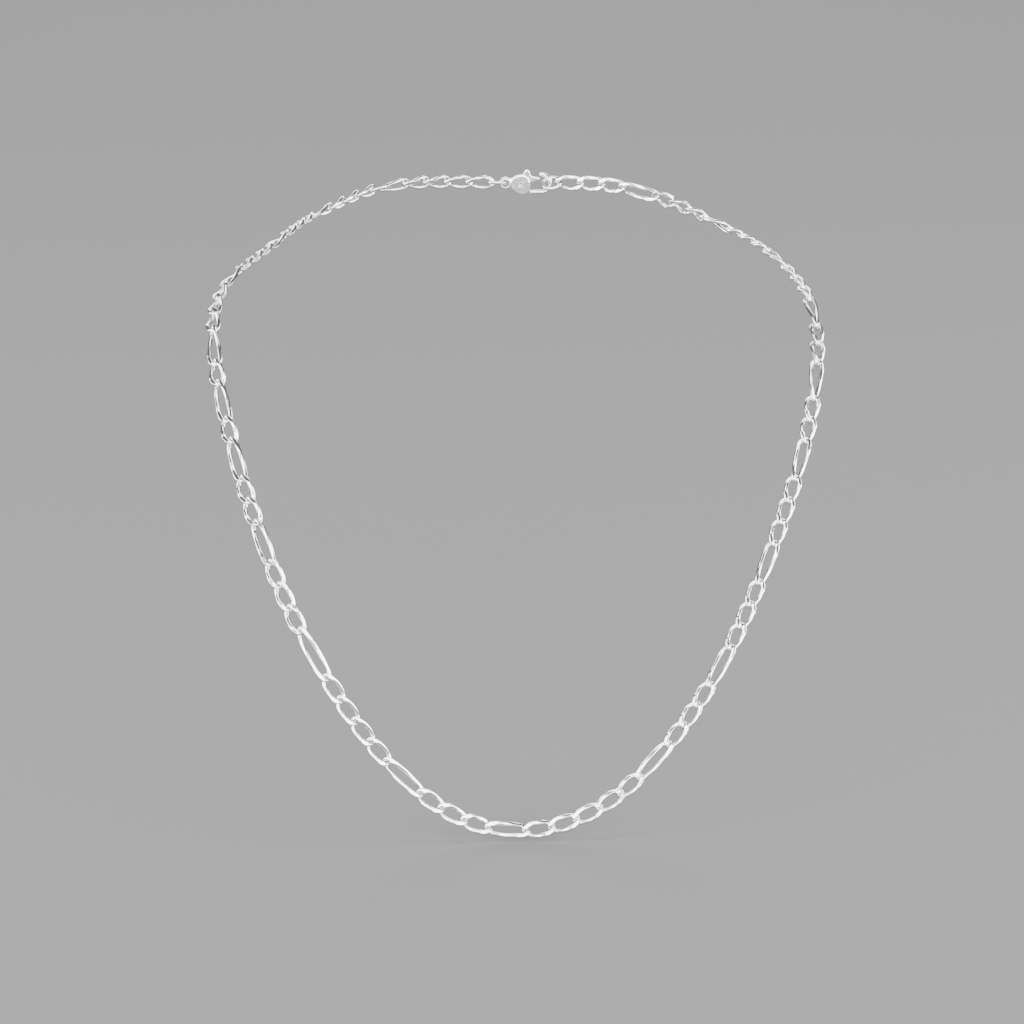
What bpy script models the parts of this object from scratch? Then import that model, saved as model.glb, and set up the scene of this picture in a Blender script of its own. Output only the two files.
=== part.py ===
"""Figaro chain necklace with a lobster clasp, closed and draped as it is worn.

Metres, +Z up. The origin is on the flat back of the clasp, where it rests on the nape of the neck.
The wearer faces -Y: the front of the chain hangs at -Y, and the clasp's eye points to -X.
The chain leaves the eye, runs down one side of the chest, up the other side and back to the clasp.
"""

import math

import bmesh
import bpy
import numpy as np
from mathutils import Matrix, Vector

MM = 0.001

# The wire links. Pitch is the length that one link adds to the chain.
WIRE = 0.78 * MM
LINK_GAP = 0.17 * MM
END_TWIST = math.radians(45)
SHORT = {"name": "short", "pitch": 5.08 * MM, "width": 3.40 * MM, "squareness": 3.5}
LONG = {"name": "long", "pitch": 9.05 * MM, "width": 3.05 * MM, "squareness": 8.0}

# Two long links at the front came out uneven: link number and pitch.
UNEVEN_LINKS = {32: 10.5 * MM, 41: 7.5 * MM}

# How many short links come before each long one, from the clasp's eye round to its hook.
SHORT_RUNS = (4, 3, 3, 3, 3, 1, 1, 2, 3, 4, 3, 5, 3, 3, 3, 2, 2, 3, 3, 3, 3)

# Links at the back of the neck are joined in stiff runs: the number of links in each run.
RUNS_AFTER_EYE = (4, 4, 4, 4, 4)
RUNS_BEFORE_HOOK = (4, 4, 4, 3)
RUN_BEAD = 0.55 * MM

# Mesh fineness: stations along a link and sides of its wire.
FINE_LINK = (14, 6)
COARSE_LINK = (12, 6)
RING_MESH = (16, 6)

# The chain's route round the neck in millimetres, and the way the skin faces there.
ROUTE = (
    ((0, 1, 0), (0.00, 0.95, 0.30)),
    ((-26, -8, 1), (-0.30, 0.65, 0.70)),
    ((-41.5, -26, -2), (-0.50, 0.40, 0.77)),
    ((-51, -53, -5), (-0.45, 0.10, 0.89)),
    ((-61.5, -85, -13), (-0.62, -0.05, 0.78)),
    ((-56.5, -112, -36.5), (-0.30, -0.62, 0.72)),
    ((-42.5, -135, -68), (-0.20, -0.85, 0.48)),
    ((-23, -141, -96), (-0.10, -0.91, 0.40)),
    ((-2.5, -141.5, -107.5), (0.00, -0.93, 0.37)),
    ((20, -138, -101.5), (0.10, -0.91, 0.40)),
    ((41, -121.5, -79.5), (0.20, -0.85, 0.48)),
    ((57.5, -96.5, -45.5), (0.42, -0.62, 0.66)),
    ((63, -73, -21), (0.60, -0.15, 0.78)),
    ((57.5, -48, -10.5), (0.45, 0.10, 0.89)),
    ((43.5, -23, -5), (0.50, 0.40, 0.77)),
    ((24, -5, 0), (0.35, 0.90, -0.25)),
)
STEPS_PER_SPAN = 24

# The clasp lies in the XZ plane, and MID_Y is the middle of its thickness.
MID_Y = 1.0 * MM
EYE_X = -2.0 * MM
EYE_RADIUS = 1.40 * MM
EYE_HOLE = 0.80 * MM
HOOK_X = 6.2 * MM
HOOK_INNER = 1.5 * MM
HOOK_OUTER = 2.4 * MM
HOOK_THICKNESS = 1.2 * MM
TIP_ANGLE = math.radians(105)
BLOCK_THICKNESS = 2.0 * MM
SLOT_WIDTH = 1.1 * MM
LEVER_THICKNESS = 0.8 * MM
PIVOT = (1.4 * MM, -0.3 * MM)
PIN_RADIUS = 0.36 * MM
PIN_SEAT = 0.38 * MM
PIN_BORE = 0.42 * MM
PIN_LENGTH = 1.9 * MM
SPRING_STRIP = 0.2 * MM
SPRING_WIDTH = 0.7 * MM

# The two plain rings beside the clasp, each tilted from the horizontal to suit the link it holds.
EYE_RING = {"radius": 1.90 * MM, "wire": 0.70 * MM, "seat_x": EYE_X, "tilt": math.radians(-10)}
END_RING = {"radius": 2.00 * MM, "wire": 0.80 * MM, "seat_x": 6.50 * MM, "tilt": math.radians(30)}


def clear_scene():
    for obj in list(bpy.data.objects):
        bpy.data.objects.remove(obj, do_unlink=True)


def make_material(name, colour, roughness):
    material = bpy.data.materials.new(name)
    material.use_nodes = True
    shader = material.node_tree.nodes["Principled BSDF"]
    shader.inputs["Base Color"].default_value = (*colour, 1.0)
    shader.inputs["Metallic"].default_value = 1.0
    shader.inputs["Roughness"].default_value = roughness
    return material


def new_object(name, mesh, material, matrix=None):
    obj = bpy.data.objects.new(name, mesh)
    if not mesh.materials:
        mesh.materials.append(material)
    if matrix is not None:
        obj.matrix_world = matrix
    bpy.context.scene.collection.objects.link(obj)
    return obj


def hide_helper(obj):
    obj.hide_render = True
    obj.display_type = "WIRE"


def mesh_from(name, vertices, faces):
    mesh = bpy.data.meshes.new(name)
    mesh.from_pydata([tuple(v) for v in vertices], [], [tuple(f) for f in faces])
    mesh.validate()
    builder = bmesh.new()
    builder.from_mesh(mesh)
    bmesh.ops.recalc_face_normals(builder, faces=builder.faces)
    builder.to_mesh(mesh)
    builder.free()
    mesh.shade_smooth()
    mesh.set_sharp_from_angle(angle=math.radians(50))
    return mesh


# ---------------------------------------------------------------- the route


def catmull_rom(before, start, end, after, t):
    return 0.5 * (
        2 * start
        + (end - before) * t
        + (2 * before - 5 * start + 4 * end - after) * t**2
        + (3 * start - before - 3 * end + after) * t**3
    )


class Route:
    """The closed line through ROUTE, read by the distance along it from the clasp."""

    def __init__(self):
        knots = np.array([[*place, *skin] for place, skin in ROUTE], float)
        knots[:, :3] *= MM
        t = np.linspace(0, 1, STEPS_PER_SPAN, endpoint=False)[:, None]
        count = len(knots)
        spans = [
            catmull_rom(knots[i - 1], knots[i], knots[(i + 1) % count], knots[(i + 2) % count], t)
            for i in range(count)
        ]
        self.points = np.vstack([*spans, knots[:1]])
        steps = np.linalg.norm(np.diff(self.points[:, :3], axis=0), axis=1)
        self.distance = np.concatenate([[0], np.cumsum(steps)])

    def at(self, distance):
        """Place and skin direction at this distance."""
        row = [np.interp(distance, self.distance, column) for column in self.points.T]
        return Vector(row[:3]), Vector(row[3:])


def link_kinds():
    kinds = []
    for run in SHORT_RUNS[:-1]:
        kinds += [SHORT] * run + [LONG]
    kinds += [SHORT] * SHORT_RUNS[-1]
    for number, pitch in UNEVEN_LINKS.items():
        kinds[number - 1] = {**LONG, "pitch": pitch}
    return kinds


def hook_up_distance():
    """How far the chain's first link starts from the origin, along the route."""
    return -EYE_X + ring_reach(EYE_RING)


def ring_reach(ring):
    """From the middle of a ring's wire to the pivot with the link on its far side."""
    return 2 * ring["radius"] - (ring["wire"] + WIRE) / 4 - LINK_GAP / 2


def link_frames():
    """For each link: its kind, the two ends of its pitch, and the matrix that places its mesh."""
    route = Route()
    distance = hook_up_distance()
    frames = []
    for kind in link_kinds():
        start, _ = route.at(distance)
        end, _ = route.at(distance + kind["pitch"])
        _, skin = route.at(distance + kind["pitch"] / 2)
        frames.append((kind, start, end, facing_matrix((start + end) / 2, end - start, skin)))
        distance += kind["pitch"]
    return frames


def facing_matrix(place, along, skin):
    """X runs along the chain and Z faces away from the skin."""
    x_axis = along.normalized()
    z_axis = (skin - skin.dot(x_axis) * x_axis).normalized()
    y_axis = z_axis.cross(x_axis)
    return Matrix.Translation(place) @ Matrix((x_axis, y_axis, z_axis)).transposed().to_4x4()


# ---------------------------------------------------------------- the links


def twisted_oval(angle, kind):
    """The middle of a link's wire: a long oval, twisted about its length so that neighbours cross."""
    half_length = (kind["pitch"] + WIRE + LINK_GAP) / 2
    half_width = (kind["width"] - WIRE) / 2
    x = half_length * math.cos(angle)
    side = max(0.0, 1 - abs(math.cos(angle)) ** kind["squareness"])
    across = math.copysign(half_width * math.sqrt(side), math.sin(angle))
    twist = -END_TWIST * x / half_length
    place = np.array([x, across * math.cos(twist), across * math.sin(twist)])
    face = np.array([0, -math.sin(twist), math.cos(twist)])
    return place, face


def tube_loop(stations, sides, radius, centre):
    """Vertices and faces of a closed tube. centre(angle) gives its middle and which way it faces."""
    small = 1e-4
    vertices = []
    for i in range(stations):
        angle = 2 * math.pi * i / stations
        place, face = centre(angle)
        tangent = centre(angle + small)[0] - centre(angle - small)[0]
        tangent /= np.linalg.norm(tangent)
        face = face - face.dot(tangent) * tangent
        face /= np.linalg.norm(face)
        outward = np.cross(tangent, face)
        for j in range(sides):
            turn = 2 * math.pi * (j + 0.5) / sides
            vertices.append(place + radius * (math.cos(turn) * outward + math.sin(turn) * face))
    faces = []
    for i in range(stations):
        row = i * sides
        next_row = (i + 1) % stations * sides
        for j in range(sides):
            k = (j + 1) % sides
            faces.append((row + j, row + k, next_row + k, next_row + j))
    return vertices, faces


def link_mesh(name, kind, fineness):
    vertices, faces = tube_loop(*fineness, WIRE / 2, lambda angle: twisted_oval(angle, kind))
    return mesh_from(name, vertices, faces)


def bead_mesh():
    builder = bmesh.new()
    bmesh.ops.create_icosphere(builder, subdivisions=1, radius=RUN_BEAD)
    mesh = bpy.data.meshes.new("run_bead")
    builder.to_mesh(mesh)
    builder.free()
    return mesh


def run_spans():
    """First and last link number of each stiff run and of each single link, in order."""
    total = len(link_kinds())
    singles = total - sum(RUNS_AFTER_EYE) - sum(RUNS_BEFORE_HOOK)
    spans = []
    number = 1
    for size in (*RUNS_AFTER_EYE, *[1] * singles, *RUNS_BEFORE_HOOK):
        spans.append((number, number + size - 1))
        number += size
    return spans


def span_name(first, last, kind):
    if first == last:
        return f"link_{first:02d}_{kind['name']}"
    return f"links_{first:02d}_to_{last:02d}"


def make_chain(silver):
    frames = link_frames()
    bead = bead_mesh()
    shapes = {}

    def shape_of(kind, fineness):
        key = (kind["pitch"], fineness)
        if key not in shapes:
            shapes[key] = link_mesh(f"{kind['name']}_link", kind, fineness)
        return shapes[key]

    for first, last in run_spans():
        kind, _, _, matrix = frames[first - 1]
        name = span_name(first, last, kind)
        if first == last:
            new_object(name, shape_of(kind, FINE_LINK), silver, matrix)
            continue
        run = new_object(name, shape_of(kind, COARSE_LINK), silver, matrix)
        helpers = bpy.data.collections.new(f"{name}_pieces")
        helpers.hide_render = True
        bpy.context.scene.collection.children.link(helpers)
        for number in range(first + 1, last + 1):
            kind, start, _, matrix = frames[number - 1]
            pieces = (
                (f"{name}_link_{number:02d}", shape_of(kind, COARSE_LINK), matrix),
                (f"{name}_bead_{number:02d}", bead, Matrix.Translation(start)),
            )
            for piece_name, mesh, place in pieces:
                piece = bpy.data.objects.new(piece_name, mesh)
                piece.matrix_world = place
                helpers.objects.link(piece)
                hide_helper(piece)
        join = run.modifiers.new("join", "BOOLEAN")
        join.operation = "UNION"
        join.operand_type = "COLLECTION"
        join.collection = helpers


# ---------------------------------------------------------------- the rings


def make_ring(name, ring, link_end, silver):
    """A plain round ring from its seat in the clasp to the end of the chain beside it."""
    seat = Vector((ring["seat_x"], MID_Y, 0))
    outward = (link_end - seat).normalized()
    wire_way = Vector((0, math.cos(ring["tilt"]), math.sin(ring["tilt"])))
    matrix = facing_matrix(seat + ring["radius"] * outward, outward, outward.cross(wire_way))

    def middle(angle):
        place = ring["radius"] * np.array([math.cos(angle), math.sin(angle), 0])
        return place, np.array([0, 0, 1.0])

    vertices, faces = tube_loop(*RING_MESH, ring["wire"] / 2, middle)
    new_object(name, mesh_from(name, vertices, faces), silver, matrix)


def make_rings(silver):
    frames = link_frames()
    make_ring("eye_jump_ring", EYE_RING, frames[0][1], silver)
    make_ring("end_ring", END_RING, frames[-1][2], silver)


# ---------------------------------------------------------------- the clasp


def arc(centre_x, centre_z, radius, start, end, steps):
    """Points on an arc in the XZ plane, with angles in degrees."""
    turns = np.radians(np.linspace(start, end, steps + 1))
    return [(centre_x + radius * math.cos(t), centre_z + radius * math.sin(t)) for t in turns]


def plate(name, outline, thickness):
    """A flat plate with this XZ outline, centred on MID_Y."""
    count = len(outline)
    near = MID_Y - thickness / 2
    vertices = [(x, near, z) for x, z in outline] + [(x, near + thickness, z) for x, z in outline]
    faces = [tuple(range(count)), tuple(range(2 * count - 1, count - 1, -1))]
    for i in range(count):
        k = (i + 1) % count
        faces.append((i, i + count, k + count, k))
    return mesh_from(name, vertices, faces)


def round_bar(name, x, z, radius, length, sides):
    """A round bar along Y, centred on MID_Y."""
    return plate(name, arc(x, z, radius, 0, 360 - 360 / sides, sides - 1), length)


def boolean(target, operation, name, mesh, material):
    """Adds or cuts a helper shape."""
    helper = new_object(name, mesh, material)
    hide_helper(helper)
    modifier = target.modifiers.new(name, "BOOLEAN")
    modifier.operation = operation
    modifier.object = helper


def claw_outline():
    """The eye, the bar under the gate and the claw, drawn anticlockwise."""
    tip = math.degrees(TIP_ANGLE)
    bar_top = -HOOK_INNER
    eye_to_bar = arc(EYE_X, 0, EYE_RADIUS, 50, 310, 9)
    outer = arc(HOOK_X, 0, HOOK_OUTER, -90, tip, 10)
    inner = arc(HOOK_X, 0, HOOK_INNER, tip, -90, 10)
    neck = [(1.0 * MM, -HOOK_OUTER)]
    back = [(3.0 * MM, bar_top), (2.4 * MM, 1.2 * MM), (0.4 * MM, 1.6 * MM)]
    return eye_to_bar + neck + outer + inner + back


def block_outline():
    """The thick part that holds the gate lever."""
    return [
        (-0.55 * MM, -1.1 * MM),
        (0.8 * MM, -2.1 * MM),
        (3.0 * MM, -2.2 * MM),
        (3.5 * MM, -1.4 * MM),
        (3.3 * MM, 1.0 * MM),
        (2.7 * MM, 1.7 * MM),
        (0.9 * MM, 1.8 * MM),
        (-0.55 * MM, 1.1 * MM),
    ]


def lever_outline():
    """The hub on the pin, the gate that closes the claw, and the thumb tab."""
    hub = arc(*PIVOT, 0.85 * MM, 130, 310, 6)
    gate = [
        (2.7 * MM, -0.05 * MM),
        (4.4 * MM, 0.35 * MM),
        (5.7 * MM, 0.68 * MM),
        (5.9 * MM, 0.93 * MM),
        (5.7 * MM, 1.22 * MM),
        (4.3 * MM, 1.45 * MM),
        (3.5 * MM, 1.75 * MM),
    ]
    tab = [(3.35 * MM, 2.6 * MM), (2.9 * MM, 3.05 * MM), (2.35 * MM, 2.85 * MM), (1.9 * MM, 1.7 * MM)]
    return hub + gate + tab


def spring_outline():
    """A bent leaf: its foot lies on the slot's floor, and its free leg bears on the gate from below."""
    floor = -1.49 * MM
    bend_x, bend_z, bend_radius = 2.6 * MM, -0.875 * MM, 0.615 * MM
    foot = [(1.0 * MM, floor + SPRING_STRIP), (1.0 * MM, floor)]
    outer = arc(bend_x, bend_z, bend_radius, -80, 90, 6)
    inner = arc(bend_x, bend_z, bend_radius - SPRING_STRIP, 90, -80, 6)
    return foot + outer + inner


def make_clasp(silver, steel):
    body = new_object("clasp_body", plate("clasp_body", claw_outline(), HOOK_THICKNESS), silver)
    block = plate("clasp_block", block_outline(), BLOCK_THICKNESS)
    boolean(body, "UNION", "clasp_block", block, silver)
    slot = [(-0.1 * MM, -1.5 * MM), (4.0 * MM, -1.5 * MM), (4.0 * MM, 3.0 * MM), (-0.1 * MM, 3.0 * MM)]
    boolean(body, "DIFFERENCE", "clasp_slot", plate("clasp_slot", slot, SLOT_WIDTH), silver)
    eye_hole = round_bar("clasp_eye_hole", EYE_X, 0, EYE_HOLE, 2 * BLOCK_THICKNESS, 12)
    boolean(body, "DIFFERENCE", "clasp_eye_hole", eye_hole, silver)
    pin_hole = round_bar("clasp_pin_hole", *PIVOT, PIN_SEAT, 2 * BLOCK_THICKNESS, 12)
    boolean(body, "DIFFERENCE", "clasp_pin_hole", pin_hole, silver)

    lever = new_object("clasp_lever", plate("clasp_lever", lever_outline(), LEVER_THICKNESS), silver)
    bore = round_bar("clasp_lever_bore", *PIVOT, PIN_BORE, 2 * BLOCK_THICKNESS, 12)
    boolean(lever, "DIFFERENCE", "clasp_lever_bore", bore, silver)

    new_object("clasp_pin", round_bar("clasp_pin", *PIVOT, PIN_RADIUS, PIN_LENGTH, 12), steel)
    new_object("clasp_spring", plate("clasp_spring", spring_outline(), SPRING_WIDTH), steel)


def main():
    clear_scene()
    silver = make_material("polished_silver", (0.93, 0.92, 0.90), 0.12)
    steel = make_material("spring_steel", (0.62, 0.63, 0.65), 0.3)
    make_chain(silver)
    make_rings(silver)
    make_clasp(silver, steel)


main()
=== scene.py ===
"""The looks of a figaro chain necklace: twisted silver links, a claw clasp and two rings."""

import math

import bmesh
import bpy
import numpy as np
from mathutils import Matrix, Vector

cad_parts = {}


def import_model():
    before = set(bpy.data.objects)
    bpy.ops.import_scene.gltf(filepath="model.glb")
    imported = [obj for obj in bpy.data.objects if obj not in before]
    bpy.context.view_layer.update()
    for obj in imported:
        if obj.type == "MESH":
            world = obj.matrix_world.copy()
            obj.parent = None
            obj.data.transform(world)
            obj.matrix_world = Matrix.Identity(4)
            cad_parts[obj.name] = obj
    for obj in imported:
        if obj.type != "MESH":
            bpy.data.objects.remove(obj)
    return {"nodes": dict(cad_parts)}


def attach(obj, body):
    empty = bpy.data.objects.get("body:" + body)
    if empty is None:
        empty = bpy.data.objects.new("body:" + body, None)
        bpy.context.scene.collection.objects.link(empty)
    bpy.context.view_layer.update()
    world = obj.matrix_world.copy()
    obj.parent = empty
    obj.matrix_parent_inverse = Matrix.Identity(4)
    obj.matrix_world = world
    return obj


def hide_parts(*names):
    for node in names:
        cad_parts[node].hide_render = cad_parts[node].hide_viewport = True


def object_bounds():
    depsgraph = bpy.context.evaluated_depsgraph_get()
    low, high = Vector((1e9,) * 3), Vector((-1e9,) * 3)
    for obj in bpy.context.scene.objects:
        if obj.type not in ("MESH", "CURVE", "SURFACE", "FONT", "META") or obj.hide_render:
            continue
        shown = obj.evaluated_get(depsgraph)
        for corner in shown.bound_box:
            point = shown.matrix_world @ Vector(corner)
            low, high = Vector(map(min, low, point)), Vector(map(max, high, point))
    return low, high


MM = 0.001

# ---------------------------------------------------------------- sizes shared with the CAD

WIRE = 0.78 * MM
LINK_GAP = 0.17 * MM
SHORT = {"name": "short", "pitch": 5.08 * MM, "width": 3.40 * MM, "squareness": 3.5}
LONG = {"name": "long", "pitch": 9.05 * MM, "width": 3.05 * MM, "squareness": 8.0}
UNEVEN_LINKS = {32: 10.5 * MM, 41: 7.5 * MM}
SHORT_RUNS = (4, 3, 3, 3, 3, 1, 1, 2, 3, 4, 3, 5, 3, 3, 3, 2, 2, 3, 3, 3, 3)
RUNS_AFTER_EYE = (4, 4, 4, 4, 4)
RUNS_BEFORE_HOOK = (4, 4, 4, 3)
ROUTE = (
    ((0, 1, 0), (0.00, 0.95, 0.30)),
    ((-26, -8, 1), (-0.30, 0.65, 0.70)),
    ((-41.5, -26, -2), (-0.50, 0.40, 0.77)),
    ((-51, -53, -5), (-0.45, 0.10, 0.89)),
    ((-61.5, -85, -13), (-0.62, -0.05, 0.78)),
    ((-56.5, -112, -36.5), (-0.30, -0.62, 0.72)),
    ((-42.5, -135, -68), (-0.20, -0.85, 0.48)),
    ((-23, -141, -96), (-0.10, -0.91, 0.40)),
    ((-2.5, -141.5, -107.5), (0.00, -0.93, 0.37)),
    ((20, -138, -101.5), (0.10, -0.91, 0.40)),
    ((41, -121.5, -79.5), (0.20, -0.85, 0.48)),
    ((57.5, -96.5, -45.5), (0.42, -0.62, 0.66)),
    ((63, -73, -21), (0.60, -0.15, 0.78)),
    ((57.5, -48, -10.5), (0.45, 0.10, 0.89)),
    ((43.5, -23, -5), (0.50, 0.40, 0.77)),
    ((24, -5, 0), (0.35, 0.90, -0.25)),
)
STEPS_PER_SPAN = 24
MID_Y = 1.0 * MM
EYE_X = -2.0 * MM
EYE_RADIUS = 1.40 * MM
EYE_HOLE = 0.80 * MM
HOOK_X = 6.2 * MM
HOOK_INNER = 1.5 * MM
HOOK_OUTER = 2.4 * MM
HOOK_THICKNESS = 1.2 * MM
BLOCK_THICKNESS = 2.0 * MM
SLOT_WIDTH = 1.1 * MM
LEVER_THICKNESS = 0.8 * MM
PIVOT = (1.4 * MM, -0.3 * MM)
PIN_RADIUS = 0.36 * MM
PIN_SEAT = 0.38 * MM
PIN_BORE = 0.42 * MM
PIN_LENGTH = 1.9 * MM
EYE_RING = {"radius": 1.90 * MM, "wire": 0.70 * MM, "seat_x": EYE_X, "tilt": math.radians(-10)}
END_RING = {"radius": 2.00 * MM, "wire": 0.80 * MM, "seat_x": 6.50 * MM, "tilt": math.radians(30)}
END_TWIST = math.radians(45)

# ---------------------------------------------------------------- the finished shape of the metal

STRAND_WIDTH = 0.79 * MM
STRAND_HEIGHT = 0.74 * MM
FLAT_SHARE = 0.50
RIDGE_RADIUS = 0.16
FLAT_HEIGHT = 0.76 * MM
SHOULDER = 0.06 * MM
LINK_STATIONS = 72
RING_STATIONS = 64
ROUND_SIDES = 20
PIN_SIDES = 40
SOFTENING = 0.05 * MM
CROWN = 0.30
LEAST_CROWN = 0.55
LEVER_HUB = 0.9 * MM
BLANK_GRAIN = 0.06 * MM
BODY_GRAIN = 0.045 * MM
LEVER_GRAIN = 0.05 * MM
CUTTER_DEPTH = 4 * MM

# ---------------------------------------------------------------- looks, lights and camera

SILVER_COLOUR = (0.95, 0.945, 0.93)
SILVER_ROUGHNESS = 0.11
STEEL_COLOUR = (0.62, 0.63, 0.65)
STEEL_ROUGHNESS = 0.28
SCRATCHES = 0.3
SCRATCH_DEPTH = 0.02 * MM
COARSE_GRAIN = 900.0
FINE_GRAIN = 4200.0
TARNISH = 0.93
FLOOR_TONE = 0.125
FLOOR_SIZE = 12
FLOOR_GAP = 0.5 * MM
WORLD_GLOW = 0.15
LIGHTS_AIM = (0, -0.08, -0.05)
SOFTBOXES = (
    ("front", (0, -1.5, 0.28), (2.8, 0.76), 60),
    ("brow", (0, -1.3, 1.1), (1.6, 0.5), 24),
    ("left", (-1.35, -0.3, 0.33), (2.2, 0.86), 52),
    ("right", (1.35, -0.3, 0.33), (2.2, 0.86), 58),
    ("top", (0, 0, 1.5), (1.0, 0.7), 16),
    ("back", (0, 2.3, 1.0), (2.8, 1.1), 70),
)
CAMERA_PLACE = (-0.0021, -0.872, 0.1252)
CAMERA_DROP = math.radians(12.99)
CAMERA_TURN = math.radians(-0.105)
CAMERA_LENS = 136.8


def catmull_rom(before, start, end, after, t):
    return 0.5 * (
        2 * start
        + (end - before) * t
        + (2 * before - 5 * start + 4 * end - after) * t**2
        + (3 * start - before - 3 * end + after) * t**3
    )


class Route:
    """The closed line through ROUTE, read by the distance along it from the clasp."""

    def __init__(self):
        knots = np.array([[*place, *skin] for place, skin in ROUTE], float)
        knots[:, :3] *= MM
        t = np.linspace(0, 1, STEPS_PER_SPAN, endpoint=False)[:, None]
        count = len(knots)
        spans = [
            catmull_rom(knots[i - 1], knots[i], knots[(i + 1) % count], knots[(i + 2) % count], t)
            for i in range(count)
        ]
        self.points = np.vstack([*spans, knots[:1]])
        steps = np.linalg.norm(np.diff(self.points[:, :3], axis=0), axis=1)
        self.distance = np.concatenate([[0], np.cumsum(steps)])

    def at(self, distance):
        """Place and skin direction at this distance."""
        row = [np.interp(distance, self.distance, column) for column in self.points.T]
        return Vector(row[:3]), Vector(row[3:])


def link_kinds():
    kinds = []
    for run in SHORT_RUNS[:-1]:
        kinds += [SHORT] * run + [LONG]
    kinds += [SHORT] * SHORT_RUNS[-1]
    for number, pitch in UNEVEN_LINKS.items():
        kinds[number - 1] = {**LONG, "pitch": pitch}
    return kinds


def ring_reach(ring):
    return 2 * ring["radius"] - (ring["wire"] + WIRE) / 4 - LINK_GAP / 2


def facing_matrix(place, along, skin):
    """X runs along the chain and Z faces away from the skin."""
    x_axis = along.normalized()
    z_axis = (skin - skin.dot(x_axis) * x_axis).normalized()
    y_axis = z_axis.cross(x_axis)
    return Matrix.Translation(place) @ Matrix((x_axis, y_axis, z_axis)).transposed().to_4x4()


def link_frames():
    """For each link: its kind, the two ends of its pitch, and the matrix that places its mesh."""
    route = Route()
    distance = -EYE_X + ring_reach(EYE_RING)
    frames = []
    for kind in link_kinds():
        start, _ = route.at(distance)
        end, _ = route.at(distance + kind["pitch"])
        _, skin = route.at(distance + kind["pitch"] / 2)
        frames.append((kind, start, end, facing_matrix((start + end) / 2, end - start, skin)))
        distance += kind["pitch"]
    return frames


def run_spans():
    """First and last link number of each CAD node of the chain, in order."""
    total = len(link_kinds())
    singles = total - sum(RUNS_AFTER_EYE) - sum(RUNS_BEFORE_HOOK)
    spans = []
    number = 1
    for size in (*RUNS_AFTER_EYE, *[1] * singles, *RUNS_BEFORE_HOOK):
        spans.append((number, number + size - 1))
        number += size
    return spans


def span_name(first, last, kind):
    if first == last:
        return f"link_{first:02d}_{kind['name']}"
    return f"links_{first:02d}_to_{last:02d}"


# ---------------------------------------------------------------- meshes


def twisted_oval(angle, kind):
    """The middle of a link's wire: a long oval, twisted about its length so that neighbours cross."""
    half_length = (kind["pitch"] + WIRE + LINK_GAP) / 2
    half_width = (kind["width"] - WIRE) / 2
    x = half_length * math.cos(angle)
    side = max(0.0, 1 - abs(math.cos(angle)) ** kind["squareness"])
    across = math.copysign(half_width * math.sqrt(side), math.sin(angle))
    twist = -END_TWIST * x / half_length
    place = np.array([x, across * math.cos(twist), across * math.sin(twist)])
    face = np.array([0, -math.sin(twist), math.cos(twist)])
    return place, face


def facet_section():
    """A filed wire's section, one unit across and high: eight flats with a small radius on each ridge."""
    corners = []
    for sx, sy, order in ((1, 1, 1), (-1, 1, -1), (-1, -1, 1), (1, -1, -1)):
        pair = [(sx, sy * FLAT_SHARE), (sx * FLAT_SHARE, sy)]
        corners += pair[::order]
    points = []
    for i, corner in enumerate(corners):
        before = Vector(corners[i - 1]) - Vector(corner)
        after = Vector(corners[(i + 1) % 8]) - Vector(corner)
        for part in (0.85, 0.5, 0.15):
            inward = before.normalized() * part**2 + after.normalized() * (1 - part) ** 2
            points.append(Vector(corner) + RIDGE_RADIUS * inward)
    return points


def tube_loop(stations, section, width, height, centre):
    """Vertices and faces of a closed tube with this section."""
    small = 1e-4
    vertices = []
    for i in range(stations):
        angle = 2 * math.pi * i / stations
        place, face = centre(angle)
        tangent = centre(angle + small)[0] - centre(angle - small)[0]
        tangent /= np.linalg.norm(tangent)
        face = face - face.dot(tangent) * tangent
        face /= np.linalg.norm(face)
        outward = np.cross(tangent, face)
        for across, up in section:
            vertices.append(place + width / 2 * across * outward + height / 2 * up * face)
    faces = []
    sides = len(section)
    for i in range(stations):
        row = i * sides
        next_row = (i + 1) % stations * sides
        for j in range(sides):
            k = (j + 1) % sides
            faces.append((row + j, row + k, next_row + k, next_row + j))
    return vertices, faces


def mesh_from(name, vertices, faces):
    mesh = bpy.data.meshes.new(name)
    mesh.from_pydata([tuple(v) for v in vertices], [], [tuple(f) for f in faces])
    builder = bmesh.new()
    builder.from_mesh(mesh)
    bmesh.ops.recalc_face_normals(builder, faces=builder.faces)
    builder.to_mesh(mesh)
    builder.free()
    mesh.shade_smooth()
    return mesh


def soft_limit(value, limit, softness):
    """Brings a height down to the limit, with a small rounded shoulder."""
    size = abs(value)
    start = limit - softness
    if size <= start:
        return value
    return math.copysign(start + softness * math.tanh((size - start) / softness), value)


def link_mesh(kind):
    vertices, faces = tube_loop(
        LINK_STATIONS,
        facet_section(),
        STRAND_WIDTH,
        STRAND_HEIGHT,
        lambda angle: twisted_oval(angle, kind),
    )
    flattened = [(v[0], v[1], soft_limit(v[2], FLAT_HEIGHT, SHOULDER)) for v in vertices]
    return mesh_from(f"{kind['name']}_link_shape", flattened, faces)


# ---------------------------------------------------------------- materials


def node(tree, kind, **inputs):
    made = tree.nodes.new(kind)
    for key, value in inputs.items():
        made.inputs[key.replace("_", " ")].default_value = value
    return made


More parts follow.
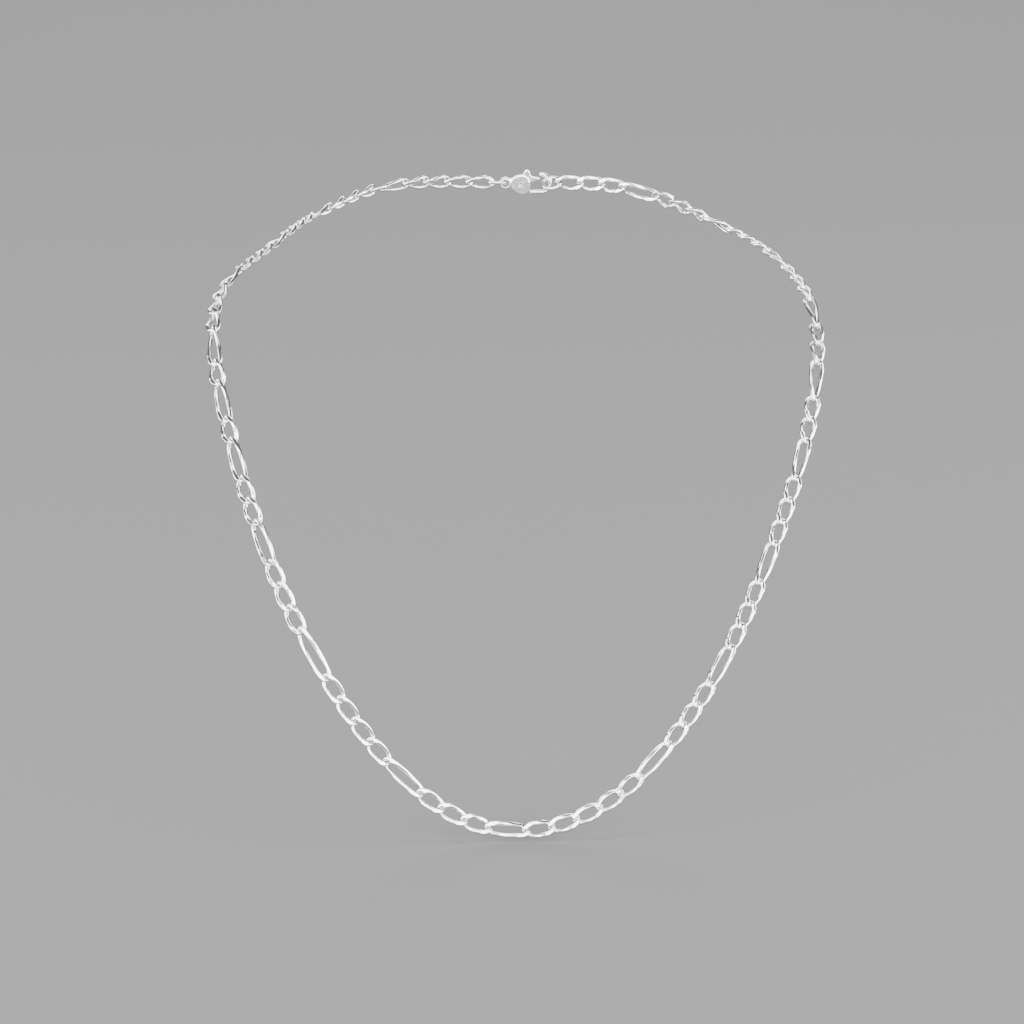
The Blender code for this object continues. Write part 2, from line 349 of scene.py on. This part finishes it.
def metal(name, colour, roughness):
    """Polished metal with small dents and uneven polish."""
    material = bpy.data.materials.new(name)
    material.use_nodes = True
    tree = material.node_tree
    shader = tree.nodes["Principled BSDF"]
    shader.inputs["Metallic"].default_value = 1.0
    place = node(tree, "ShaderNodeTexCoord")
    cloud = node(tree, "ShaderNodeTexNoise", Scale=COARSE_GRAIN, Detail=4.0)
    fine = node(tree, "ShaderNodeTexNoise", Scale=FINE_GRAIN, Detail=3.0)
    tree.links.new(place.outputs["Object"], cloud.inputs["Vector"])
    tree.links.new(place.outputs["Object"], fine.inputs["Vector"])
    polish = node(tree, "ShaderNodeMapRange")
    polish.inputs["From Min"].default_value = 0.35
    polish.inputs["From Max"].default_value = 0.7
    polish.inputs["To Min"].default_value = roughness * 0.7
    polish.inputs["To Max"].default_value = roughness * 1.7
    tree.links.new(cloud.outputs["Fac"], polish.inputs["Value"])
    tree.links.new(polish.outputs["Result"], shader.inputs["Roughness"])
    tone = node(tree, "ShaderNodeMixRGB")
    tone.inputs["Color1"].default_value = (*colour, 1)
    tone.inputs["Color2"].default_value = (*[TARNISH * c for c in colour], 1)
    tree.links.new(fine.outputs["Fac"], tone.inputs["Fac"])
    tree.links.new(tone.outputs["Color"], shader.inputs["Base Color"])
    bump = node(tree, "ShaderNodeBump", Strength=SCRATCHES, Distance=SCRATCH_DEPTH)
    tree.links.new(cloud.outputs["Fac"], bump.inputs["Height"])
    tree.links.new(bump.outputs["Normal"], shader.inputs["Normal"])
    return material


def floor_material():
    material = bpy.data.materials.new("floor_paper")
    material.use_nodes = True
    tree = material.node_tree
    shader = tree.nodes["Principled BSDF"]
    shader.inputs["Base Color"].default_value = (FLOOR_TONE, FLOOR_TONE, FLOOR_TONE, 1)
    shader.inputs["Roughness"].default_value = 0.9
    return material


# ---------------------------------------------------------------- pieces


def add_piece(name, mesh, material, matrix, body, cad_node):
    piece = bpy.data.objects.new(name, mesh)
    if not mesh.materials:
        mesh.materials.append(material)
    piece.matrix_world = matrix
    bpy.context.scene.collection.objects.link(piece)
    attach(piece, body)
    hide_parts(cad_node)


def make_chain(silver):
    frames = link_frames()
    meshes = {}
    for first, last in run_spans():
        cad_node = span_name(first, last, frames[first - 1][0])
        for number in range(first, last + 1):
            kind, _, _, matrix = frames[number - 1]
            if kind["pitch"] not in meshes:
                meshes[kind["pitch"]] = link_mesh(kind)
            name = f"silver_link_{number:02d}"
            add_piece(name, meshes[kind["pitch"]], silver, matrix, cad_node, cad_node)


def make_ring(name, ring, link_end, silver):
    seat = Vector((ring["seat_x"], MID_Y, 0))
    outward = (link_end - seat).normalized()
    wire_way = Vector((0, math.cos(ring["tilt"]), math.sin(ring["tilt"])))
    matrix = facing_matrix(seat + ring["radius"] * outward, outward, outward.cross(wire_way))

    def middle(angle):
        place = ring["radius"] * np.array([math.cos(angle), math.sin(angle), 0])
        return place, np.array([0, 0, 1.0])

    turns = np.linspace(0, 2 * math.pi, ROUND_SIDES, endpoint=False)
    section = [(math.cos(t), math.sin(t)) for t in turns]
    wire = ring["wire"] - SOFTENING
    vertices, faces = tube_loop(RING_STATIONS, section, wire, wire, middle)
    mesh = mesh_from(f"{name}_shape", vertices, faces)
    add_piece(f"silver_{name}", mesh, silver, matrix, name, name)


def make_rings(silver):
    frames = link_frames()
    make_ring("eye_jump_ring", EYE_RING, frames[0][1], silver)
    make_ring("end_ring", END_RING, frames[-1][2], silver)


# ---------------------------------------------------------------- the clasp


def arc(centre_x, centre_z, radius, start, end, steps):
    """Points on an arc in the XZ plane, with angles in degrees."""
    turns = np.radians(np.linspace(start, end, steps + 1))
    return [(centre_x + radius * math.cos(t), centre_z + radius * math.sin(t)) for t in turns]


def plate(name, outline, thickness):
    """A flat plate with this XZ outline, centred on MID_Y."""
    count = len(outline)
    near = MID_Y - thickness / 2
    vertices = [(x, near, z) for x, z in outline] + [(x, near + thickness, z) for x, z in outline]
    faces = [tuple(range(count)), tuple(range(2 * count - 1, count - 1, -1))]
    for i in range(count):
        k = (i + 1) % count
        faces.append((i, i + count, k + count, k))
    return mesh_from(name, vertices, faces)


def smooth_curve(points, steps):
    """A closed smooth curve through these XZ points."""
    knots = [np.array(point) for point in points]
    count = len(knots)
    curve = []
    for i in range(count):
        for t in np.linspace(0, 1, steps, endpoint=False):
            row = catmull_rom(knots[i - 1], knots[i], knots[(i + 1) % count], knots[(i + 2) % count], t)
            curve.append(tuple(row))
    return curve


def cast(name, first, steps, voxel, smoothing):
    """Plates joined and cut, then given soft edges. Each step is (operation, mesh)."""
    base = bpy.data.objects.new(f"{name}_mould", first)
    bpy.context.scene.collection.objects.link(base)
    helpers = [base]
    for number, (operation, mesh) in enumerate(steps):
        helper = bpy.data.objects.new(f"{name}_mould_{number}", mesh)
        bpy.context.scene.collection.objects.link(helper)
        helpers.append(helper)
        modifier = base.modifiers.new(f"step_{number}", "BOOLEAN")
        modifier.operation = operation
        modifier.object = helper
    remesh = base.modifiers.new("skin", "REMESH")
    remesh.mode = "VOXEL"
    remesh.voxel_size = voxel
    smooth = base.modifiers.new("soften", "SMOOTH")
    smooth.iterations = smoothing
    smooth.factor = 0.5
    graph = bpy.context.evaluated_depsgraph_get()
    mesh = bpy.data.meshes.new_from_object(base.evaluated_get(graph))
    mesh.name = f"{name}_shape"
    mesh.materials.clear()
    mesh.shade_smooth()
    for helper in helpers:
        bpy.data.objects.remove(helper)
    return mesh


def crown(mesh, centre_x, reach):
    """Rounds the side that faces away from the skin, thickest at centre_x."""
    for vertex in mesh.vertices:
        proud = vertex.co.y - MID_Y
        if proud > 0:
            away = ((vertex.co.x - centre_x) ** 2 + vertex.co.z**2) / reach**2
            vertex.co.y = MID_Y + proud * max(1 - CROWN * away, LEAST_CROWN)


def fade(value, start, end):
    """0 before start, 1 after end, and smooth between them."""
    t = min(max((value - start) / (end - start), 0), 1)
    return t * t * (3 - 2 * t)


def round_off(mesh, line_offset, half_width, share):
    """Turns a square bar round, by its distance from the bar's middle line and its share of the rounding."""
    half_height = HOOK_THICKNESS / 2 + SOFTENING
    for vertex in mesh.vertices:
        x, y, z = vertex.co
        amount = share(x, z)
        if not amount:
            continue
        offset, outward = line_offset(x, z)
        across = max(min(offset / half_width, 1), -1)
        up = max(min((y - MID_Y) / half_height, 1), -1)
        narrower = 1 - math.sqrt(1 - up * up / 2)
        thinner = 1 - math.sqrt(1 - across * across / 2)
        vertex.co -= amount * narrower * offset * outward
        vertex.co.y -= amount * thinner * (y - MID_Y)


def hook_offset(x, z):
    middle = (HOOK_INNER + HOOK_OUTER) / 2
    if x < HOOK_X and z < 0:
        return -z - middle, Vector((0, 0, -1))
    outward = Vector((x - HOOK_X, 0, z))
    return outward.length - middle, outward.normalized()


def eye_offset(x, z):
    outward = Vector((x - EYE_X, 0, z))
    return max(outward.length - (EYE_HOLE + EYE_RADIUS) / 2, 0), outward.normalized()


def hook_share(x, z):
    return fade(x, 3.4 * MM, 4.4 * MM)


def eye_share(x, z):
    return fade(-x, 0.7 * MM, 1.3 * MM)


def riveted_pin():
    """A pin with domed ends, turned about the lever's axis."""
    half = PIN_LENGTH / 2
    profile = ((0.35, half), (0.7, half - 0.03 * MM), (0.93, half - 0.09 * MM), (1.0, half - 0.2 * MM))
    rings = [(share, -y) for share, y in profile] + [(share, y) for share, y in reversed(profile)]
    sides = PIN_SIDES
    vertices = []
    for share, y in rings:
        for x, z in arc(*PIVOT, PIN_RADIUS * share, 0, 360 - 360 / sides, sides - 1):
            vertices.append((x, MID_Y + y, z))
    faces = [tuple(range(sides)), tuple(range(len(vertices) - 1, len(vertices) - sides - 1, -1))]
    for ring in range(len(rings) - 1):
        for i in range(sides):
            k = (i + 1) % sides
            row = ring * sides
            faces.append((row + i, row + k, row + sides + k, row + sides + i))
    return mesh_from("clasp_pin_shape", vertices, faces)


def claw_outline():
    """The eye, the bar under the gate and the claw, drawn anticlockwise."""
    spare = SOFTENING
    eye_to_bar = arc(EYE_X, 0, EYE_RADIUS + spare, 50, 310, 48)
    outer = arc(HOOK_X, 0, HOOK_OUTER + spare, -90, 104, 64)
    inner = arc(HOOK_X, 0, HOOK_INNER - spare, 104, -90, 64)
    neck = [(1.0 * MM, -HOOK_OUTER - spare)]
    back = [(3.0 * MM, -HOOK_INNER + spare), (2.4 * MM, 1.2 * MM), (0.4 * MM, 1.6 * MM)]
    return eye_to_bar + neck + outer + inner + back


def block_outline():
    corners = [
        (-0.75 * MM, 0),
        (-0.45 * MM, -1.3 * MM),
        (0.9 * MM, -2.25 * MM),
        (2.5 * MM, -2.4 * MM),
        (3.5 * MM, -1.6 * MM),
        (3.6 * MM, -0.2 * MM),
        (3.3 * MM, 1.0 * MM),
        (2.6 * MM, 1.75 * MM),
        (1.2 * MM, 1.9 * MM),
        (-0.35 * MM, 1.25 * MM),
    ]
    return smooth_curve(corners, 8)


def lever_outline():
    """The hub on the pin, the gate that closes the claw, and the thumb tab."""
    hub = arc(*PIVOT, LEVER_HUB, 130, 310, 24)
    gate = [
        (2.7 * MM, -0.05 * MM),
        (3.6 * MM, 0.16 * MM),
        (4.4 * MM, 0.36 * MM),
        (5.2 * MM, 0.56 * MM),
        (5.6 * MM, 0.7 * MM),
        (5.81 * MM, 0.95 * MM),
        (5.79 * MM, 1.18 * MM),
        (5.6 * MM, 1.34 * MM),
        (5.0 * MM, 1.46 * MM),
        (4.2 * MM, 1.58 * MM),
        (3.65 * MM, 1.88 * MM),
    ]
    tab = [
        (3.5 * MM, 2.6 * MM),
        (3.25 * MM, 3.0 * MM),
        (2.85 * MM, 3.12 * MM),
        (2.4 * MM, 2.95 * MM),
        (2.15 * MM, 2.4 * MM),
        (1.9 * MM, 1.8 * MM),
    ]
    return hub + gate + tab


def make_clasp(silver, steel):
    low, high, back, front = -1.5 * MM, 3.2 * MM, -0.1 * MM, 4.2 * MM
    slot = plate("slot", [(back, low), (front, low), (front, high), (back, high)], SLOT_WIDTH)
    eye_hole = plate("eye_hole", arc(EYE_X, 0, EYE_HOLE, 0, 354, 59), CUTTER_DEPTH)
    pin_seat = plate("pin_seat", arc(*PIVOT, PIN_SEAT, 0, 354, 59), CUTTER_DEPTH)
    pin_bore = plate("pin_bore", arc(*PIVOT, PIN_BORE, 0, 354, 59), CUTTER_DEPTH)
    spare = 2 * SOFTENING
    block = plate("block", block_outline(), BLOCK_THICKNESS + spare)
    claw = plate("claw", claw_outline(), HOOK_THICKNESS + spare)
    blank = cast("clasp_blank", claw, [("UNION", block)], BLANK_GRAIN, 26)
    crown(blank, PIVOT[0], BLOCK_THICKNESS)
    round_off(blank, hook_offset, (HOOK_OUTER - HOOK_INNER) / 2 + SOFTENING, hook_share)
    round_off(blank, eye_offset, (EYE_RADIUS - EYE_HOLE) / 2 + SOFTENING, eye_share)
    cuts = [("DIFFERENCE", slot), ("DIFFERENCE", eye_hole), ("DIFFERENCE", pin_seat)]
    body = cast("clasp_body", blank, cuts, BODY_GRAIN, 6)
    here = Matrix.Identity(4)
    add_piece("silver_clasp_body", body, silver, here, "clasp", "clasp_body")
    arm = plate("lever", lever_outline(), LEVER_THICKNESS + SOFTENING)
    lever = cast("clasp_lever", arm, [("DIFFERENCE", pin_bore)], LEVER_GRAIN, 34)
    add_piece("silver_clasp_lever", lever, silver, here, "clasp_lever", "clasp_lever")
    add_piece("steel_clasp_pin", riveted_pin(), steel, here, "clasp", "clasp_pin")


# ---------------------------------------------------------------- the studio


def area_light(name, place, size, power):
    light = bpy.data.lights.new(name, "AREA")
    light.shape = "RECTANGLE"
    light.size, light.size_y = size
    light.energy = power
    lamp = bpy.data.objects.new(name, light)
    lamp.location = place
    lamp.rotation_euler = (Vector(LIGHTS_AIM) - Vector(place)).to_track_quat("-Z", "Y").to_euler()
    bpy.context.scene.collection.objects.link(lamp)


def make_studio(low):
    world = bpy.data.worlds.new("studio")
    world.use_nodes = True
    world.node_tree.nodes["Background"].inputs["Color"].default_value = (1, 1, 1, 1)
    world.node_tree.nodes["Background"].inputs["Strength"].default_value = WORLD_GLOW
    bpy.context.scene.world = world
    bpy.ops.mesh.primitive_plane_add(size=FLOOR_SIZE, location=(0, 0, low))
    floor = bpy.context.object
    floor.name = "floor"
    floor.data.materials.append(floor_material())
    for name, place, size, power in SOFTBOXES:
        area_light(name, place, size, power)


def make_camera():
    camera = bpy.data.objects.new("camera", bpy.data.cameras.new("camera"))
    camera.data.sensor_width = 36
    camera.data.lens = CAMERA_LENS
    camera.data.clip_start = 0.01
    camera.location = CAMERA_PLACE
    camera.rotation_euler = (math.radians(90) - CAMERA_DROP, 0, CAMERA_TURN)
    bpy.context.scene.collection.objects.link(camera)
    bpy.context.scene.camera = camera


def main():
    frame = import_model()
    cad_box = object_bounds()
    silver = metal("polished_silver_look", SILVER_COLOUR, SILVER_ROUGHNESS)
    steel = metal("spring_steel_look", STEEL_COLOUR, STEEL_ROUGHNESS)
    make_chain(silver)
    make_rings(silver)
    make_clasp(silver, steel)
    spring = frame["nodes"]["clasp_spring"]
    spring.data.materials.clear()
    spring.data.materials.append(steel)
    make_studio(float(cad_box[0][2]) - FLOOR_GAP)
    make_camera()


main()
